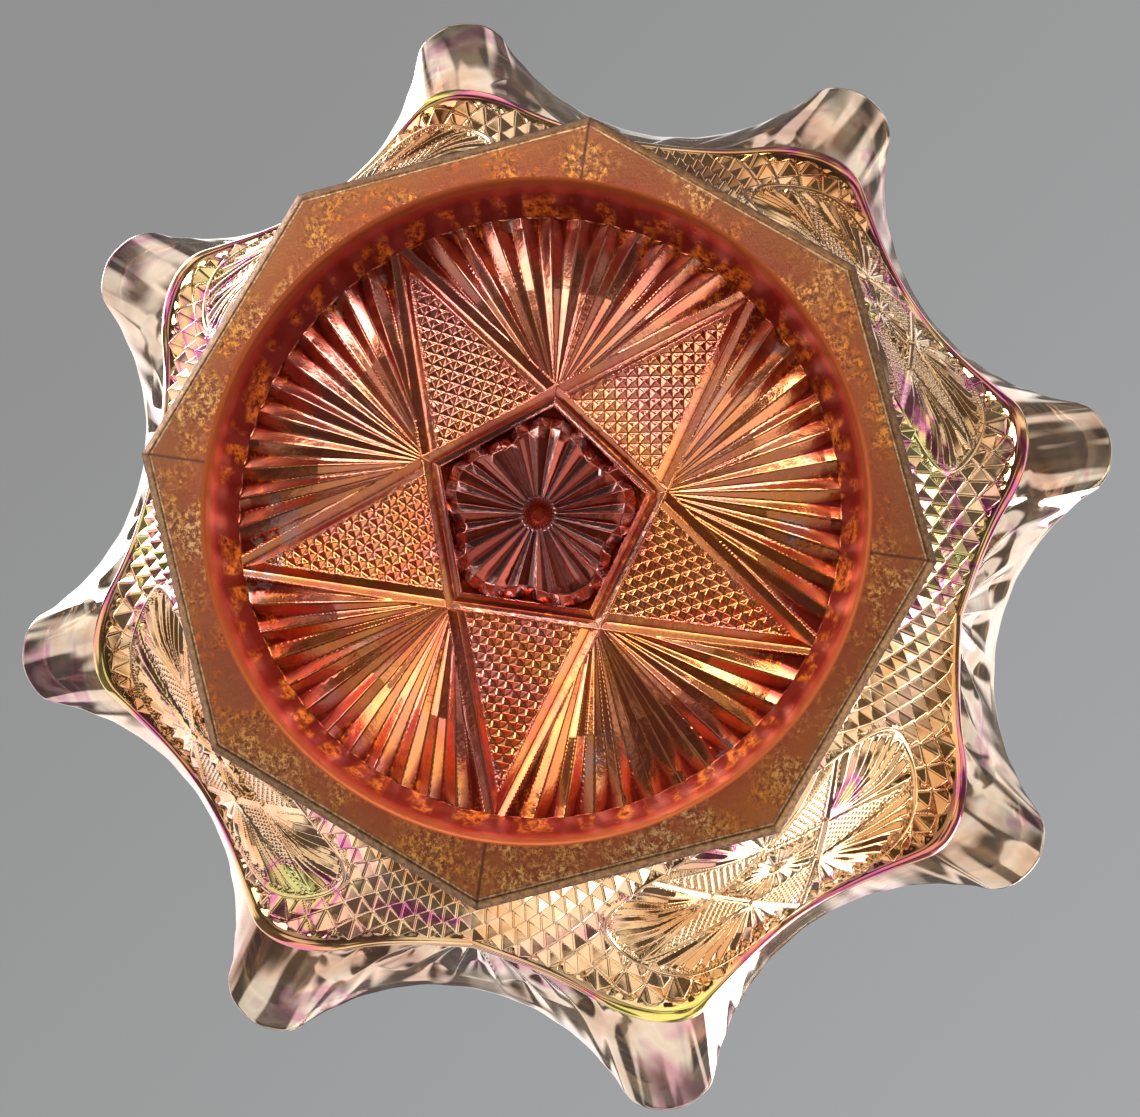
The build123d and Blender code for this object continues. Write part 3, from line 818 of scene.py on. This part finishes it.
def wall_glass():
    """Champagne lustre, with crimson, magenta and yellow-green streaks along the ridge."""
    m = Look("wall_lustre")
    drift = m.noise(26.0, 2.0, 0.5, 0.8)
    base = m.ramp(drift, [
        (0.28, (0.56, 0.20, 0.05)),
        (0.42, (0.76, 0.36, 0.11)),
        (0.56, (0.86, 0.56, 0.28)),
        (0.618, (0.82, 0.42, 0.28)),
        (0.632, (0.66, 0.12, 0.30)),
        (0.650, (0.84, 0.52, 0.20)),
        (0.72, (0.74, 0.66, 0.22)),
    ])
    film = m.ramp(m.noise(38.0, 2.0, 0.5, 0.6), [
        (0.40, (0.80, 0.44, 0.16)),
        (0.46, (0.76, 0.20, 0.14)),
        (0.50, (0.60, 0.08, 0.26)),
        (0.53, (0.76, 0.22, 0.12)),
        (0.57, (0.84, 0.50, 0.20)),
        (0.64, (0.80, 0.70, 0.14)),
    ])
    place = m.up_the_sheet()
    on_ridge = m.between(place, RIDGE_SHARE - 0.012, RIDGE_SHARE + 0.012)
    outside = m.between(place, INSIDE_TOP, OUTSIDE_TOP)
    m.glass(m.mix(m.times(on_ridge, outside), base, film), 0.85, 0.07)
    m.bump(m.noise(240.0, 2.0, 0.5), 0.06, 0.0005)
    return m.material


def rim_glass():
    """Smoky glass with a thin silvery gold film and plum shadows."""
    m = Look("margin_lustre")
    drift = m.noise(34.0, 3.0, 0.55, 0.9)
    base = m.ramp(drift, [
        (0.32, (0.46, 0.24, 0.13)),
        (0.45, (0.70, 0.47, 0.29)),
        (0.56, (0.78, 0.64, 0.46)),
        (0.63, (0.62, 0.30, 0.32)),
        (0.72, (0.70, 0.66, 0.42)),
    ])
    m.glass(base, 0.66, 0.06)
    m.bump(m.noise(120.0, 2.0, 0.5), 0.05, 0.0005)
    return m.material


# ---- stage ----
def build_floor():
    """A plain pale floor just under the foot. It shows from above only."""
    half, z = 3.0, -0.0002
    mesh = bpy.data.meshes.new("floor")
    corners = [(-half, -half, z), (half, -half, z), (half, half, z), (-half, half, z)]
    mesh.from_pydata(corners, [], [(0, 1, 2, 3)])
    floor = bpy.data.objects.new("floor", mesh)
    bpy.context.scene.collection.objects.link(floor)
    material = bpy.data.materials.new("floor")
    material.use_nodes = True
    m = Nodes(material.node_tree)
    shader = m.tree.nodes["Principled BSDF"]
    shader.inputs["Base Color"].default_value = (0.56, 0.55, 0.54, 1.0)
    shader.inputs["Roughness"].default_value = 0.9
    shader.inputs["Specular IOR Level"].default_value = 0.1
    clear = m.add("ShaderNodeBsdfTransparent").outputs[0]
    from_below = m.add("ShaderNodeNewGeometry").outputs["Backfacing"]
    m.finish("Material Output", from_below, shader.outputs[0], clear)
    mesh.materials.append(material)
    floor.visible_shadow = False
    floor.visible_glossy = False
    floor.visible_transmission = False


BACKDROP_PALES = (-0.861, 0.507, 0.0)  # the way in which the backdrop grows paler
BACKDROP_SPREAD = 0.36                 # how far to each side of the middle it does


def build_world():
    """Soft studio light in pale and dark patches, paler from above, and plain grey behind."""
    world = bpy.data.worlds.new("surroundings")
    bpy.context.scene.world = world
    world.use_nodes = True
    w = Nodes(world.node_tree)
    direction = w.add("ShaderNodeTexCoord").outputs["Generated"]

    light = w.tree.nodes["Background"]
    upward = w.math("MULTIPLY_ADD", w.coordinate("Z", direction), 0.5, 0.5)
    tones = w.ramp(upward, [
        (0.15, (0.26, 0.26, 0.2652)),
        (0.48, (0.72, 0.72, 0.7344)),
        (1.00, (1.00, 1.00, 1.0000)),
    ])
    patches = w.between(w.noise(2.4, 1.0, source=direction), 0.48, 0.57, to=(0.17, 1.75))
    w.link(tones, light.inputs["Color"])
    w.link(patches, light.inputs["Strength"])

    backdrop = w.add("ShaderNodeBackground")
    across = w.add("ShaderNodeVectorMath", operation="DOT_PRODUCT")
    across.inputs[1].default_value = BACKDROP_PALES
    w.link(direction, across.inputs[0])
    pale = w.between(across.outputs["Value"], -BACKDROP_SPREAD, BACKDROP_SPREAD)
    greys = w.ramp(pale, [(0.0, (0.280, 0.284, 0.280)), (1.0, (0.398, 0.400, 0.412))])
    w.link(greys, backdrop.inputs["Color"])
    seen = w.add("ShaderNodeLightPath").outputs["Is Camera Ray"]
    w.finish("World Output", seen, light.outputs[0], backdrop.outputs[0])


def lamp(name, place, size, power):
    """A soft oblong lamp that faces the bowl. Its size is in metres and its power in watts."""
    data = bpy.data.lights.new(name, "AREA")
    data.shape = "RECTANGLE"
    data.size, data.size_y = size
    data.energy = power
    light = bpy.data.objects.new(name, data)
    light.location = place
    towards = Vector((0, 0, BOWL_HEIGHT / 2)) * MM - Vector(place)
    light.rotation_euler = towards.to_track_quat("-Z", "Y").to_euler()
    bpy.context.scene.collection.objects.link(light)


# ---- camera ----
CAMERA_PLACE = Vector((-37.3, 11.4, -303.6)) * MM
CAMERA_TILT = (-4.76, 2.79)    # degrees about the camera's own right and down axes
CAMERA_ROLL = 104.53           # degrees
CAMERA_LENS = 63.2             # millimetres, on a sensor 36 mm wide


def camera_axes():
    """Right, up and forward of the camera, which looks up the bowl's axis, tilted and rolled."""
    roll = math.radians(CAMERA_ROLL)
    right = Vector((math.cos(roll), math.sin(roll), 0))
    down = Vector((-math.sin(roll), math.cos(roll), 0))
    forward = Vector((0, 0, 1))
    tilt = Vector((math.radians(CAMERA_TILT[0]), math.radians(CAMERA_TILT[1]), 0))
    turned = Matrix.Rotation(tilt.length, 3, tilt.normalized())
    rows = turned @ Matrix((right, down, forward))
    return rows[0], -rows[1], rows[2]


def place_camera():
    """The photograph's view of the underside."""
    data = bpy.data.cameras.new("camera")
    data.lens = CAMERA_LENS
    data.sensor_width = 36.0
    data.clip_start = 0.01
    camera = bpy.data.objects.new("camera", data)
    right, up, forward = camera_axes()
    turned = Matrix((right, up, -forward)).transposed()
    camera.matrix_world = Matrix.Translation(CAMERA_PLACE) @ turned.to_4x4()
    bpy.context.scene.collection.objects.link(camera)
    bpy.context.scene.camera = camera
    return right, up, forward


def in_view(x, y, depth):
    """A place given by how far it lies right, up and ahead of the foot's middle, as seen."""
    return right * x + up * y + forward * depth


# ---- making ----
bpy.context.scene.view_settings.view_transform = "Standard"
right, up, forward = place_camera()
build_floor()
build_world()

lamp("key_below", in_view(0.9, -0.5, -0.6), (0.7, 1.0), 2.8)
lamp("fill_below", in_view(-0.9, 0.3, -0.5), (0.4, 0.9), 4)
lamp("high_below", in_view(0.1, 0.9, -0.6), (0.9, 0.3), 9)
lamp("key_above", (0.9, -0.7, 1.1), (0.8, 0.8), 15)
lamp("fill_above", (-0.9, 0.6, 0.9), (0.6, 0.6), 6)

star_look, foot_look, recess_look = star_glass(), foot_glass(), recess_glass()
wall_look, rim_look = wall_glass(), rim_glass()


def dress(piece, look, node):
    """Gives a piece its material, hangs it under the root body and hides the CAD node that it stands
    for.
    """
    piece.data.materials.append(look)
    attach(piece, "root")
    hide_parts(node)


for number in range(STAR_POINTS):
    dress(base_piece(number), star_look, "star_base")
dress(foot_piece(), foot_look, "foot_ring")
dress(recess_piece(), recess_look, "foot_ring")
for number in range(MEDALLIONS):
    dress(wall_piece(number), wall_look, "patterned_wall")
    dress(margin_piece(number), rim_look, "ruffled_rim")
